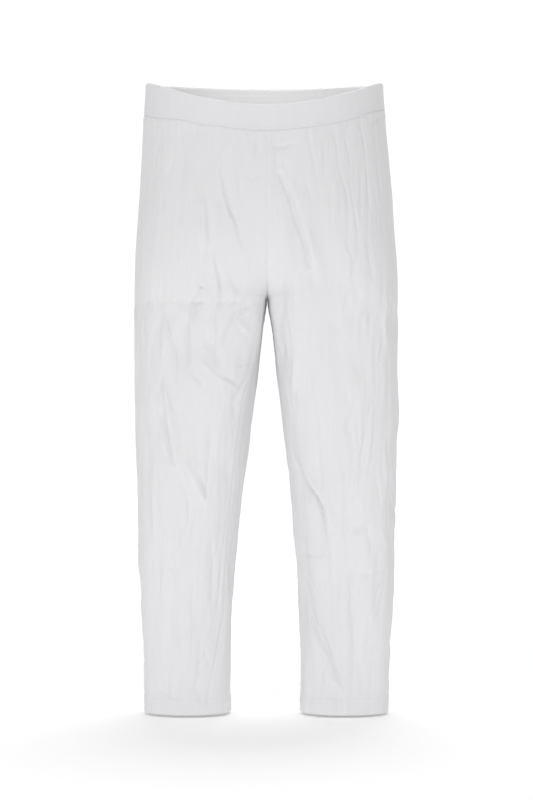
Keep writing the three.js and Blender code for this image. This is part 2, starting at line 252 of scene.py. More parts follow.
frontFolds = table("height half shoulder route", [
    # under the casing
    (-1.12, 1.5, 0, [[61, 33], [59, 38], [56, 45]]),
    (-1.12, 1.5, 0, [[78, 35], [81, 31], [84, 28]]),
    (-1.12, 1.3, 0, [[-10, 61], [-7, 55], [0, 55], [9, 55], [22, 52]]),
    (-0.72, 1.5, 0, [[-18, 76], [-11, 79], [-6, 76], [0, 78], [5, 76]]),
    (0.64, 1.8, 0, [[-83, 40], [-79, 62], [-80, 84]]),
    (-0.64, 1.6, 0, [[-66, 44], [-64, 66], [-67, 90]]),
    (0.56, 1.5, 0, [[-52, 38], [-51, 58]]),
    (-0.4, 1.3, 0, [[40, 50], [42, 72]]),
    (0.4, 1.6, 0, [[68, 52], [66, 78], [68, 98]]),
    (-0.4, 1.6, 0, [[82, 56], [84, 92], [85, 126]]),
    # left leg
    (-2.8, 1.4, 0.5, [[8, 76], [11, 83], [14, 90], [18, 101], [21, 113], [24, 121], [27, 131], [29, 142]]),
    (-0.8, 1.6, 0, [[28, 135], [32, 152], [35, 168]]),
    (0.5, 1.6, 0, [[49, 78], [50, 92], [49, 107]]),
    (-0.5, 1.5, 0, [[46, 86], [46, 104], [46, 124]]),
    (-0.7, 1.6, -0.4, [[58, 83], [59, 106], [59, 128], [62, 136], [63, 153], [65, 169]]),
    (0.96, 1.8, 0, [[55, 171], [56, 188], [55, 206]]),
    (2.2, 1.9, 0, [[13, 152], [14.5, 168], [17.5, 186], [19.5, 209], [19, 231]]),
    (2.0, 1.4, 0, [[88, 158], [87, 173], [86, 183], [88, 203], [84, 215]]),
    (-1.12, 1.5, 0, [[91, 166], [90, 190]]),
    (0.96, 1.6, 0, [[79, 184], [77, 201], [77, 220], [78, 235]]),
    (-1.12, 1.5, 0, [[64, 246], [60, 258], [58, 268]]),
    (-1.8, 1.5, 0.5, [[78, 243], [74, 257], [72, 273], [70, 284], [69, 298], [68, 312]]),
    (-3.0, 1.5, 0.5, [[17, 281], [21, 295], [26, 306], [34, 315], [40, 329], [41, 356]]),
    (1.28, 1.5, 0, [[25, 288], [30, 299], [37, 312], [40, 322], [43, 340]]),
    (0.96, 1.3, 0, [[22, 300], [25, 308], [29, 319], [31, 325]]),
    (1.12, 1.5, 0, [[87, 274], [88, 293], [89, 310], [86, 318], [83, 330]]),
    (-1.12, 1.5, 0, [[94, 317], [91, 329]]),
    (-1.12, 1.5, 0.5, [[73, 331], [67, 340], [62, 343]]),
    (-0.8, 1.3, 0, [[53, 339], [58, 332]]),
    (-0.8, 1.3, 0, [[74, 337], [75, 349]]),
    (0.96, 1.5, 0, [[85, 340], [88, 351]]),
    (-0.8, 1.5, 0, [[25, 359], [34, 360], [44, 359]]),
    (-0.96, 1.5, 0, [[70, 372], [77, 373], [87, 369]]),
    (-2.5, 1.5, -0.5, [[25, 384], [29, 391], [31, 400], [33, 410], [37, 417], [41, 426], [46, 435],
                       [51, 446]]),
    (0.96, 1.3, 0, [[45, 445], [51, 456], [56, 463]]),
    (-0.96, 1.3, 0, [[27, 369], [32, 376], [38, 387], [42, 393]]),
    (-0.96, 1.4, 0, [[28, 430], [34, 433], [38, 447], [40, 455], [45, 465]]),
    (-0.96, 1.5, 0, [[88, 372], [84, 384], [81, 394], [79, 403]]),
    (0.8, 1.5, 0, [[75, 419], [71, 428], [67, 437]]),
    (0.8, 1.5, 0, [[82, 428], [77, 436], [72, 444]]),
    (-0.64, 1.6, 0, [[66, 384], [62, 398], [63, 416]]),
    (0.64, 1.6, 0, [[36, 186], [38, 214], [36, 238]]),
    (-0.64, 1.5, 0, [[46, 228], [44, 246], [46, 262]]),
    (0.64, 1.6, 0, [[52, 286], [55, 304], [53, 322]]),
    # right leg
    (-1.5, 1.4, -0.45, [[-28, 57], [-34, 65], [-34, 78], [-31, 92], [-28, 103], [-24, 111], [-20, 128]]),
    (-0.96, 1.5, 0, [[-22, 76], [-22, 94], [-24, 106]]),
    (1.28, 1.5, 0, [[-48, 94], [-48, 113], [-46, 128]]),
    (-1.28, 1.5, 0, [[-45, 97], [-44, 116], [-44, 133]]),
    (-1.28, 1.6, -0.4, [[-40, 133], [-37, 147], [-35, 160], [-35, 176]]),
    (1.44, 1.5, 0, [[-30, 154], [-26, 164], [-25, 176], [-20, 186], [-13, 193]]),
    (1.28, 1.5, 0, [[-50, 160], [-55, 171], [-57, 184], [-58, 213]]),
    (-1.28, 1.5, 0, [[-60, 186], [-60, 204], [-60, 221]]),
    (1.28, 1.5, 0, [[-78, 173], [-79, 198], [-79, 222]]),
    (1.12, 1.5, 0, [[-51, 214], [-46, 218], [-41, 223]]),
    (-1.2, 1.5, -0.4, [[-40, 221], [-34, 225], [-28, 228], [-20, 234]]),
    (-0.96, 1.5, 0, [[-57, 221], [-52, 228], [-46, 236]]),
    (-0.8, 1.3, 0, [[-25, 215], [-18, 216], [-11, 215]]),
    (1.28, 1.6, 0, [[-82, 224], [-78, 235], [-74, 259]]),
    (-0.96, 1.5, 0, [[-77, 231], [-72, 246], [-67, 262]]),
    (-2.6, 1.4, 0.4, [[-81, 252], [-78, 264], [-75, 277], [-72, 289]]),
    (1.28, 1.5, 0, [[-60, 293], [-51, 312], [-46, 321]]),
    (-0.7, 1.5, 0, [[-53, 294], [-49, 304], [-45, 316]]),
    (-0.96, 1.5, 0, [[-56, 268], [-54, 279], [-52, 290]]),
    (-0.8, 1.3, 0, [[-65, 336], [-66, 353]]),
    (0.8, 1.3, 0, [[-69, 339], [-67, 357]]),
    (0.72, 1.5, 0, [[-77, 338], [-78, 353]]),
    (-0.8, 1.5, 0, [[-77, 365], [-70, 373]]),
    (-0.8, 1.5, 0, [[-51, 408], [-57, 413], [-63, 418]]),
    (-0.8, 1.5, 0, [[-47, 435], [-51, 441], [-56, 447]]),
    (-0.64, 1.5, 0, [[-36, 273], [-36, 312], [-37, 350], [-41, 366], [-42, 407], [-44, 430]]),
    (-0.64, 1.3, 0, [[-34, 385], [-28, 385]]),
    (-0.8, 1.5, 0, [[-90, 463], [-80, 464], [-72, 468], [-66, 468]]),
    (0.64, 1.5, 0, [[-88, 300], [-86, 328], [-87, 352]]),
    (-0.64, 1.6, 0, [[-72, 384], [-70, 404], [-73, 424]]),
    (0.64, 1.6, 0, [[-60, 396], [-58, 420]]),
    (-0.64, 1.5, 0, [[-70, 128], [-68, 150], [-70, 168]]),
])

backFolds = table("height half shoulder route", [
    (-0.96, 1.9, 0, [[-70, 18], [-66, 34], [-68, 52]]),
    (-0.96, 1.9, 0, [[58, 20], [62, 38], [60, 60]]),
    (0.8, 2.1, 0, [[-44, 22], [-42, 48], [-46, 70]]),
    (-0.72, 1.9, 0, [[36, 24], [33, 52]]),
    (0.8, 1.9, 0, [[20, 30], [17, 58], [20, 82]]),
    (-0.8, 2.1, 0, [[-22, 34], [-26, 66]]),
    (0.96, 2.1, 0, [[80, 74], [78, 104], [80, 132]]),
    (-0.96, 2.1, 0, [[-82, 82], [-80, 112], [-84, 140]]),
    (-2.08, 2.5, 0.4, [[-66, 146], [-48, 158], [-30, 164], [-10, 166]]),
    (-2.08, 2.5, 0.4, [[64, 143], [46, 155], [28, 161], [10, 164]]),
    (-1.28, 1.9, 0, [[-46, 170], [-30, 176], [-16, 174]]),
    (-1.12, 1.9, 0, [[40, 168], [26, 173], [12, 172]]),
    (1.28, 2.3, 0, [[-58, 176], [-36, 186], [-18, 188]]),
    (1.12, 2.1, 0, [[56, 172], [38, 182], [20, 184]]),
    (-1.12, 1.9, 0, [[-34, 196], [-38, 222], [-36, 250]]),
    (-1.12, 1.9, 0, [[32, 192], [36, 218], [33, 246]]),
    (0.96, 2.1, 0, [[-56, 206], [-54, 236], [-57, 268]]),
    (0.96, 2.1, 0, [[58, 200], [60, 230], [57, 258]]),
    (-0.96, 1.9, 0, [[-76, 214], [-74, 250]]),
    (-0.96, 1.9, 0, [[78, 222], [76, 256]]),
    (-1.92, 2.1, 0.4, [[-88, 322], [-72, 336], [-54, 343], [-34, 341]]),
    (-1.6, 2.0, -0.4, [[-84, 338], [-66, 350], [-48, 352]]),
    (-1.92, 2.1, 0.4, [[86, 312], [70, 328], [54, 336], [32, 334]]),
    (-1.44, 1.9, 0, [[78, 334], [62, 344], [44, 345]]),
    (1.28, 2.1, 0, [[-80, 306], [-62, 322], [-44, 326]]),
    (1.12, 2.1, 0, [[76, 300], [60, 314], [42, 318]]),
    (-1.28, 1.9, 0, [[-44, 366], [-52, 386], [-50, 408]]),
    (1.12, 1.9, 0, [[-66, 376], [-70, 400]]),
    (-1.28, 1.9, 0, [[46, 362], [44, 384], [50, 402]]),
    (0.96, 1.9, 0, [[68, 372], [66, 398]]),
    (-1.44, 1.8, 0.4, [[36, 402], [46, 416], [58, 427], [72, 432]]),
    (-1.44, 1.8, 0, [[-38, 412], [-48, 426], [-60, 438]]),
    (0.96, 1.7, 0, [[-74, 424], [-66, 442], [-68, 458]]),
    (0.96, 1.7, 0, [[82, 408], [76, 436]]),
    (-0.8, 1.7, 0, [[40, 446], [54, 456], [66, 458]]),
])

# On both outer sides, with the drop moved by shift on the right leg.
outerFolds = table("height half shift route", [
    (-1.12, 2.1, 6, [[-20, 34], [-14, 62], [-18, 96]]),
    (0.96, 2.1, -8, [[10, 40], [14, 74], [8, 110]]),
    (-0.96, 1.9, 10, [[32, 52], [36, 88]]),
    (-1.12, 2.1, -6, [[0, 124], [6, 158], [0, 190]]),
    (1.12, 2.1, 12, [[-24, 140], [-20, 178], [-24, 214]]),
    (-0.96, 1.9, 9, [[22, 176], [18, 214], [22, 244]]),
    (-1.28, 1.9, -7, [[-14, 236], [-6, 262], [2, 284]]),
    (1.12, 2.1, 11, [[4, 232], [10, 262], [18, 288]]),
    (-1.44, 2.0, 8, [[26, 306], [10, 322], [-8, 330]]),
    (-1.12, 1.9, -9, [[24, 328], [8, 340], [-6, 342]]),
    (0.96, 1.9, 7, [[-12, 346], [-6, 374], [-10, 402]]),
    (-1.12, 1.9, -12, [[10, 360], [14, 388], [8, 414]]),
    (-0.96, 1.7, 6, [[-8, 420], [2, 438], [12, 444]]),
])

crease = {
    "flanks": (0.8, 1.5),     # how much narrower its left is and how much wider its right
    "shift": 0.8,             # the routes follow the dark flanks, which lie left of the troughs
    "dotGap": 0.8,            # between the places along a route that are measured to
    "reach": 5,               # in half-widths: nothing is felt further off
    "blunt": 0.08,            # how far along its taper a fold starts and ends
    "taper": 0.8,
    "waver": 0.25,            # a fold is never the same depth all along
    "waverPace": 7,
    "shoulderAway": 2.1,      # in half-widths
    "shoulderHalf": 1.5,
}
facing = {"ahead": (0.05, 0.45), "beside": (0.35, 0.75)}     # how squarely the cloth must face for its folds


def routeDots(route, gap):
    # a smooth line through the route's points, with a dot every gap or so
    points = np.array(route, float)
    ends = np.vstack([2 * points[0] - points[1], points, 2 * points[-1] - points[-2]])
    dots = []
    for i in range(len(points) - 1):
        a, b, c, d = ends[i:i + 4]
        count = max(2, int(np.linalg.norm(c - b) / gap))
        t = (np.arange(count) / count)[:, None]
        dots.append(0.5 * (2 * b + (c - a) * t + (2 * a - 5 * b + 4 * c - d) * t**2
                           + (3 * b - a - 3 * c + d) * t**3))
    return np.vstack(dots + [points[-1:]])


def addFold(field, flat, shown, fold, flanks=(1.0, 1.0), shift=0):
    # flat holds each point as seen square on, and shown how far it faces that way;
    # flanks widen or narrow the fold on its left and on its right
    dots = routeDots([[x, drop + shift] for x, drop in fold["route"]], crease["dotGap"])
    margin = crease["reach"] * fold["half"] * max(flanks)
    low, high = dots.min(0) - margin, dots.max(0) + margin
    near = (shown > 0) & (flat > low).all(-1) & (flat < high).all(-1)
    if not near.any():
        return
    points = flat[near]
    apart = points[:, None, :] - dots[None, :, :]
    distances = (apart**2).sum(-1)
    nearest = distances.argmin(1)
    away = np.sqrt(distances[np.arange(len(points)), nearest])
    along = nearest / (len(dots) - 1)
    heading = np.gradient(dots, axis=0)[nearest]
    heading /= np.linalg.norm(heading, axis=1, keepdims=True)
    offset = apart[np.arange(len(points)), nearest]
    side = np.sign(offset[:, 0] * heading[:, 1] - offset[:, 1] * heading[:, 0])
    taper = np.sin(math.pi * (crease["blunt"] + (1 - 2 * crease["blunt"]) * along)) ** crease["taper"]
    waver = 1 + crease["waver"] * np.sin(crease["waverPace"] * along + dots[0, 0])
    onRight = side * np.sign(dots[-1, 1] - dots[0, 1]) > 0
    half = fold["half"] * np.where(onRight, flanks[1], flanks[0])
    shape = np.exp(-(away / half) ** 2)
    lean = fold.get("shoulder", 0)
    if lean:
        beside = side * away * np.sign(lean)
        past = beside - crease["shoulderAway"] * half
        shape -= abs(lean) * np.exp(-(past / (crease["shoulderHalf"] * half)) ** 2)
    field[near] += fold["height"] * taper * waver * shape * shown[near]


def foldField(leg, points, normals):
    field = np.zeros(points.shape[:-1])
    drop = cut["bandHeight"] / 2 - points[..., 2]
    frontOn = np.stack([points[..., 0], drop], -1)
    sideOn = np.stack([points[..., 1], drop], -1)
    ahead = smoothStep(-normals[..., 1], *facing["ahead"])
    behind = smoothStep(normals[..., 1], *facing["ahead"])
    hand = 1 if leg == "left" else -1
    beside = smoothStep(hand * normals[..., 0], *facing["beside"])
    for fold in broadFrontFolds:
        addFold(field, frontOn, ahead, fold)
    for fold in broadBackFolds:
        addFold(field, frontOn, behind, fold)
    for fold in frontFolds:
        addFold(field, frontOn - [crease["shift"], 0], ahead, fold, crease["flanks"])
    for fold in backFolds:
        addFold(field, frontOn, behind, fold, crease["flanks"])
    for fold in outerFolds:
        addFold(field, sideOn, beside, fold, crease["flanks"], fold["shift"] if leg == "right" else 0)
    return field


# Uneven rise and fall of the jersey: width across, length down, height.
crinkle = table("wide long height seed", [
    (26, 95, 1.2, 3.1),
    (9, 44, 0.58, 11.7),
    (4.5, 20, 0.28, 23.4),
])

# Thin creases along the lines where a noise passes zero, in patches.
hairlines = table("wide long thin depth seed patch patchLong", [
    (16, 85, 0.11, 0.8, 41.3, 34, 70),
    (9, 55, 0.13, 0.55, 57.9, 26, 48),
])
hairlinePatch = {"seed": 5, "from": -0.05, "to": 0.2}     # where its noise is high, hairlines show


def noiseAt(flat, wide, long, seed):
    return np.array([noise.noise(Vector(p)) for p in flat / [wide, wide, long] + seed])


def crinkleField(points):
    flat = points.reshape(-1, 3)
    field = np.zeros(len(flat))
    for layer in crinkle:
        field += layer["height"] * noiseAt(flat, layer["wide"], layer["long"], layer["seed"])
    for layer in hairlines:
        line = noiseAt(flat, layer["wide"], layer["long"], layer["seed"])
        patch = noiseAt(flat, layer["patch"], layer["patchLong"], layer["seed"] + hairlinePatch["seed"])
        shown = smoothStep(patch, hairlinePatch["from"], hairlinePatch["to"])
        field -= layer["depth"] * np.exp(-(line / layer["thin"]) ** 2) * shown
    return field.reshape(points.shape[:-1])


# Meshes.

def intoScene(name, bm):
    mesh = bpy.data.meshes.new(name)
    bm.to_mesh(mesh)
    bm.free()
    thing = bpy.data.objects.new(name, mesh)
    bpy.context.scene.collection.objects.link(thing)
    return thing


weldGap = 0.02     # edges of a sheet nearer than this are joined


def sheetMesh(name, places, charts, outside):
    # a grid bent to the given places, with its cut laid flat as its UV map; edges that meet are joined
    rows, columns = places.shape[:2]
    bm = bmesh.new()
    bmesh.ops.create_grid(bm, x_segments=columns - 1, y_segments=rows - 1, size=0.5)
    uvLayer = bm.loops.layers.uv.new("cut")
    spots = {}
    for vertex in bm.verts:
        column = round((vertex.co.x + 0.5) * (columns - 1))
        row = round((vertex.co.y + 0.5) * (rows - 1))
        spots[vertex.index] = (row, column)
    for face in bm.faces:
        face.smooth = True
        for loop in face.loops:
            loop[uvLayer].uv = charts[spots[loop.vert.index]]
    for vertex in bm.verts:
        vertex.co = places[spots[vertex.index]] * mm
    bmesh.ops.remove_doubles(bm, verts=bm.verts, dist=weldGap * mm)
    rim = [edge for edge in bm.edges if edge.is_boundary]
    for edge in rim:
        edge.smooth = False
    if rim:
        filled = bmesh.ops.holes_fill(bm, edges=rim, sides=0)
        bmesh.ops.triangulate(bm, faces=filled["faces"])
    bm.normal_update()
    bm.faces.ensure_lookup_table()
    middle = bm.faces[len(bm.faces) // 4]
    if middle.normal.dot(Vector(outside(middle.calc_center_median()))) < 0:
        bmesh.ops.reverse_faces(bm, faces=bm.faces)
    return intoScene(name, bm)


panel = {
    "columns": 236,
    "columnSpacing": {"fineEnds": (1, 1), "fineShare": 0.42, "reach": 0.04, "coarser": 1.0},
    "rows": 318,
    "rowSpacing": {"fineEnds": (0.5, 0.95), "fineShare": 0.5, "reach": 0.04},
    "tuck": 0.3,              # how far it starts above its cut, at the casing
    "foldRadius": 1.0,        # of the cloth round the hem edge
    "foldRows": 5,
    "turnRows": 8,
    "innerRows": 44,
    "edgeFade": 40,           # how far down the casing's uneven edge is felt
    "level": (440, 468),      # between these drops the relief turns level, so that the hem stays flat
    "crotchBlend": (-8, 20),  # from the centre seam's ways to the inseam's, past the crotch
    "crinkleBlend": (130, 190),
    "crinkleHips": 0.75,      # share of the crinkle at the hips, and how much more of it is on the legs
    "crinkleMore": 0.65,
    "middle": 55,             # of a leg, from the middle plane
    "chartMiddle": 200,
}

# Sewn edges hold the cloth flatter: the share of its relief that is left, and how far the hold is felt.
calmSeam = {"kept": 0.25, "within": 9}
calmWaist = {"kept": 0.35, "within": 10}
calmHem = {"kept": 0.45, "from": 462, "to": 474}

seam = {
    "centreDitch": 0.08,      # depth and half-width of the grooves along the seams
    "inseamDitch": 0.38,
    "ditchHalf": 1.0,
    "allowance": 0.3,         # the seam's own thickness lifts the cloth beside it
    "allowanceAway": 2.6,
    "allowanceHalf": 1.5,
    "centreShare": 0.4,       # of that lift along the centre seam
    "casingDitchHalf": 1.0,
    "waistLift": 0.14,        # over the allowance under the casing, which ends softly
    "waistLiftStart": (1, 2.5),
    "waistLiftEnd": (5, 6.4),
}
hem = {
    "stitches": [9.4, 12.0],  # above the hem edge
    "stitchDent": 0.15,
    "stitchHalf": 0.75,
    "lift": 0.35,             # two layers stand out a little
    "liftEnd": (12.2, 14.2),
}

# Small waves along the sewn lines: how far from the line they lie, and over what half-width.
pucker = {
    "seam": {"height": 0.16, "gap": 7.5, "away": 3, "half": 3.5, "left": 1.3, "right": 2.9},
    "waist": {"height": 0.22, "gap": 8.5, "away": 4, "half": 6, "left": 0.6, "right": 4.1},
    "hem": {"height": 0.2, "gap": 6.2, "away": 7, "half": 6, "left": 5.2, "right": 0.9},
}


def panelRows():
    # (drop at the side, how far in from the face) for each row: down the leg, round the hem edge and up
    radius = panel["foldRadius"]
    bottom = cut["hemDrop"] - radius
    top = cut["panelTop"] - panel["tuck"]
    shares = spacedOut(panel["rows"], **panel["rowSpacing"])
    rows = [(top + (bottom - top) * share, 0.0) for share in shares]
    for k in range(1, panel["foldRows"] + 1):
        turn = math.pi * k / (panel["foldRows"] + 1)
        rows.append((bottom + radius * math.sin(turn), radius * (1 - math.cos(turn))))
    turned = bottom - cut["hemTurn"] + radius
    for k in range(panel["turnRows"] + 1):
        rows.append((bottom + (turned - bottom) * k / panel["turnRows"], 2 * radius))
    return np.array(rows)


# The casing's lower edge across the front: how much lower it lies, and how deep its groove is.
edgeLine = table("x lower groove", [
    (-95, 3.2, 0.4),
    (-83, 2.6, 0.34),
    (-73, 0.4, 0.3),
    (-60, -1.4, 0.2),
    (-50, -0.7, 0.06),
    (-36, -2.1, 0.04),
    (-20, -2.0, 0.04),
    (-4, -1.6, 0.03),
    (12, -2.2, 0.04),
    (28, -2.0, 0.03),
    (48, -1.6, 0.05),
    (62, -1.2, 0.2),
    (78, -2.0, 0.34),
    (92, -0.8, 0.4),
])
backEdge = {"lower": 0, "groove": 0.3, "from": 0.5, "to": 0.65}


def edgeValue(leg, around, name):
    # a column of edgeLine on the front, fading to backEdge's value round the back
    x = facePoints(leg, np.array(cut["bandHeight"]), around)[..., 0]
    places = [row["x"] for row in edgeLine]
    values = [row[name] for row in edgeLine]
    ahead = np.interp(x, places, values)
    side = values[0] if leg == "right" else values[-1]
    fade = 1 - smoothStep(around, backEdge["from"], backEdge["to"])
    return np.where(around < backEdge["from"], ahead, backEdge[name] + (side - backEdge[name]) * fade)


def puckers(along, gap, seed):
    # small waves along a sewn line, uneven because two slower waves change their pace and their height
    pace = 1.7 * np.sin(2 * math.pi * along / (gap * 3.7) + seed)
    height = 0.7 + 0.3 * np.sin(2 * math.pi * along / (gap * 5.3) + 2 * seed)
    return height * np.sin(2 * math.pi * along / gap + pace)


def puckerField(line, leg, along, away):
    waves = pucker[line]["height"] * puckers(along, pucker[line]["gap"], pucker[line][leg])
    return waves * bump(away, pucker[line]["away"], pucker[line]["half"])


def gridNormals(leg, points):
    # square to the face that evenly spaced points make
    normal = np.cross(np.gradient(points, axis=0), np.gradient(points, axis=1))
    normal *= 1 if leg == "left" else -1
    return normal / np.maximum(np.linalg.norm(normal, axis=-1, keepdims=True), 1e-9)


def legPanel(leg):
    rows = panelRows()
    drops, insets = rows[:, 0], rows[:, 1]
    side = drops[:, None]
    goals = spacedOut(panel["columns"], **panel["columnSpacing"])
    around, lengths = evenPlaces(leg, drops, goals)
    edgeFade = 1 - smoothStep(side, cut["panelTop"], cut["panelTop"] + panel["edgeFade"])
    points = facePoints(leg, side + edgeValue(leg, around, "lower") * edgeFade, around)
    outerCount = panel["rows"] + 1
    normals = gridNormals(leg, points[:outerCount])
    nearest = np.abs(drops[None, :outerCount] - drops[outerCount:, None]).argmin(axis=1)
    normals = np.concatenate([normals, normals[nearest]])
    sideLength = goals[None, :] * lengths[:, None]
    toSeam = np.minimum(sideLength, lengths[:, None] - sideLength)
    belowCrotch = smoothStep(side - cut["crotchDrop"], *panel["crotchBlend"])
    below = side - cut["panelTop"]
    above = cut["hemDrop"] - side

    more = panel["crinkleMore"] * smoothStep(side, *panel["crinkleBlend"])
    height = foldField(leg, points, normals) + crinkleField(points) * (panel["crinkleHips"] + more)
    calm = calmSeam["kept"] + (1 - calmSeam["kept"]) * smoothStep(toSeam, 0, calmSeam["within"])
    calm = calm * (calmWaist["kept"] + (1 - calmWaist["kept"]) * smoothStep(below, 0, calmWaist["within"]))
    nearHem = smoothStep(side, calmHem["from"], calmHem["to"])
    height = height * calm * (calmHem["kept"] + (1 - calmHem["kept"]) * (1 - nearHem))
    # seams: a groove, the allowance lying to one side under the cloth, and small puckers
    ditch = seam["centreDitch"] + (seam["inseamDitch"] - seam["centreDitch"]) * belowCrotch
    height -= ditch * bump(toSeam, 0, seam["ditchHalf"])
    share = seam["centreShare"] + (1 - seam["centreShare"]) * belowCrotch
    height += seam["allowance"] * share * bump(sideLength, seam["allowanceAway"], seam["allowanceHalf"])
    height += puckerField("seam", leg, side, toSeam)
    # under the casing
    groove = edgeValue(leg, around, "groove")
    height -= groove * bump(np.maximum(below, 0), 0, seam["casingDitchHalf"])
    height += puckerField("waist", leg, sideLength, below)
    lift = smoothStep(below, *seam["waistLiftStart"]) * (1 - smoothStep(below, *seam["waistLiftEnd"]))
    height += seam["waistLift"] * lift
    # at the hem
    height += puckerField("hem", leg, sideLength, above)
    for line in hem["stitches"]:
        height -= hem["stitchDent"] * bump(above, line, hem["stitchHalf"])
    height += hem["lift"] * (1 - smoothStep(above, *hem["liftEnd"]))

    outward = normals.copy()
    outward[..., 2] *= 1 - smoothStep(drops, *panel["level"])[:, None]
    outward /= np.linalg.norm(outward, axis=-1, keepdims=True)
    face = points + outward * (height - insets[:, None])[..., None]
    # the cloth's inner face, in fewer rows, below the lowest place of the rows that each stands for
    lastRow = int(nearest[-1])
    picks = np.linspace(lastRow, 0, panel["innerRows"] + 1).round().astype(int)
    reach = lastRow // panel["innerRows"] + 1
    inner = []
    for pick in picks:
        lowest = height[max(0, pick - reach):pick + reach + 1].min(axis=0) if pick else height[0]
        inner.append(points[pick] + outward[pick] * (lowest - cut["jersey"])[:, None])
    shell = np.concatenate([face, np.array(inner)])
    level = np.concatenate([drops, drops[picks]])
    # the centre seams meet in the middle plane, and the inseam's two edges meet each other
    rise = level < cut["crotchDrop"]
    shell[rise, 0, 0] = 0
    shell[rise, -1, 0] = 0
    joined = (shell[~rise, 0] + shell[~rise, -1]) / 2
    shell[~rise, 0] = joined
    shell[~rise, -1] = joined
    hand = 1 if leg == "left" else -1
    shell[..., 0] = hand * np.maximum(hand * shell[..., 0], cut["seamGap"] / 2)
    shell = np.concatenate([shell, shell[:1]])

    # laid flat: true lengths down each column, and along each row from the side of the leg
    walked = np.zeros(shell.shape[:2])
    walked[1:] = np.cumsum(np.linalg.norm(np.diff(shell, axis=0), axis=-1), axis=0)
    spread = np.linalg.norm(np.diff(shell, axis=1), axis=-1)
    along = np.concatenate([np.zeros((len(shell), 1)), np.cumsum(spread, axis=1)], axis=1)
    charts = np.stack([panel["chartMiddle"] + along - along[:, -1:] / 2, walked], -1) * mm
    name = "legCloth" + leg.capitalize()
    centre = Vector((hand * panel["middle"] * mm, 0, 0))
    thing = sheetMesh(name, shell, charts, lambda place: (place - centre) * Vector((1, 1, 0)))
    return thing, face, outward, drops


casing = {
    "columns": 150,        # round each half
    "wall": 3.0,
    "below": 0.1,          # how far it ends below its cut
    "outerRows": 12,
    "topRows": 7,
    "edge": 0.1,           # rounding of the lower edge
    "edgeRows": 3,
    "straightTop": 4,      # the uneven lower edge isn't felt above this drop
    "rib": 3.4,            # spacing of the elastic's ribs inside
    "ribDepth": 0.05,
    "ribFrom": 3,
    "ribBlend": (2, 4),
    "stitchLine": 1.9,     # above the lower edge
    "stitchDent": 0.12,
    "stitchHalf": 0.7,
    "pucker": 0.16,
    "puckerGap": 9.5,
    "puckerSeed": 2.2,
    "puckerTop": 0.35,     # share of the puckers' height that is left away from the stitch line
    "puckerAway": 3,
    "puckerHalf": 6,
    "crinkle": 0.28,       # share of the legs' crinkle
}


def casingProfile():
    # (drop at the side, how far in) round the casing's section, from its lower outer edge and back
    wall, edge, height = casing["wall"], casing["edge"], cut["bandHeight"] + casing["below"]
    rows = []
    for k in range(casing["edgeRows"] + 1):
        turn = math.pi / 2 * k / casing["edgeRows"]
        rows.append((height - edge + edge * math.cos(turn), edge - edge * math.sin(turn)))
    top = wall / 2
    straight = height - edge - top
    for k in range(1, casing["outerRows"] + 1):
        rows.append((height - edge - straight * k / casing["outerRows"], 0.0))
    for k in range(1, casing["topRows"] + 1):
        turn = math.pi * k / casing["topRows"]
        rows.append((top - top * math.sin(turn), top - top * math.cos(turn)))
    innerRows = 2 * casing["outerRows"]
    for k in range(1, innerRows + 1):
        rows.append((top + straight * k / innerRows, wall))
    for k in range(1, casing["edgeRows"] + 1):
        turn = math.pi / 2 * k / casing["edgeRows"]
        rows.append((height - edge + edge * math.sin(turn), wall - edge + edge * math.cos(turn)))
    rows.append(rows[0])
    return np.array(rows)


def casingRing():
    rows = casingProfile()
    drops, insets = rows[:, 0], rows[:, 1]
    goals = np.linspace(0, 1, casing["columns"] + 1)
    halves, normalHalves, walked = [], [], []
    start = 0
    for leg in ("right", "left"):
        around, lengths = evenPlaces(leg, drops, goals)
        fade = smoothStep(drops[:, None], casing["straightTop"], cut["bandHeight"])
        lowered = drops[:, None] + edgeValue(leg, around, "lower") * fade
        points = facePoints(leg, lowered, around)
        normals = faceNormals(leg, lowered, around)
        side = goals[None, :] * lengths[:, None]
        if leg == "left":
            points, normals = points[:, ::-1], normals[:, ::-1]
        halves.append(points if leg == "right" else points[:, 1:])
        normalHalves.append(normals if leg == "right" else normals[:, 1:])
        along = start + side
        walked.append(along if leg == "right" else along[:, 1:])
        start = lengths.mean()
    points = np.concatenate(halves, axis=1)
    normals = np.concatenate(normalHalves, axis=1)
    along = np.concatenate(walked, axis=1)
    normals[..., 2] = 0
    normals /= np.linalg.norm(normals, axis=-1, keepdims=True)
    outside = (insets < casing["wall"] / 2)[:, None]
    drop = drops[:, None]
    above = cut["bandHeight"] - drop
    low = bump(above, casing["puckerAway"], casing["puckerHalf"])
    waves = casing["pucker"] * puckers(along, casing["puckerGap"], casing["puckerSeed"])
    height = waves * (casing["puckerTop"] + (1 - casing["puckerTop"]) * low)
    height += crinkleField(points) * casing["crinkle"]
    height -= casing["stitchDent"] * bump(above, casing["stitchLine"], casing["stitchHalf"])
    ribs = casing["ribDepth"] * np.cos(2 * math.pi * (drop - casing["ribFrom"]) / casing["rib"])
    height = np.where(outside, height, height - ribs * smoothStep(drop, *casing["ribBlend"]))
    points = points + normals * (height - insets[:, None])[..., None]
    points[:, -1] = points[:, 0]
    points[-1] = points[0]
    rowWalk = np.concatenate([[0], np.cumsum(np.abs(np.diff(drops)) + np.abs(np.diff(insets)))])
    charts = np.stack([along * mm, np.broadcast_to(rowWalk[:, None] * mm, along.shape)], -1)
    thing = sheetMesh("waistCasing", points, charts, lambda place: place * Vector((1, 1, 0)))
    return thing, points, normals, rows


legs = {}
for leg in ("left", "right"):
    legs[leg] = legPanel(leg)
    print("leg cloth", leg, len(legs[leg][0].data.polygons), "faces")
waistCasing, casingPoints, casingNormals, casingRows = casingRing()
print("casing", len(waistCasing.data.polygons), "faces")


# Stitches.

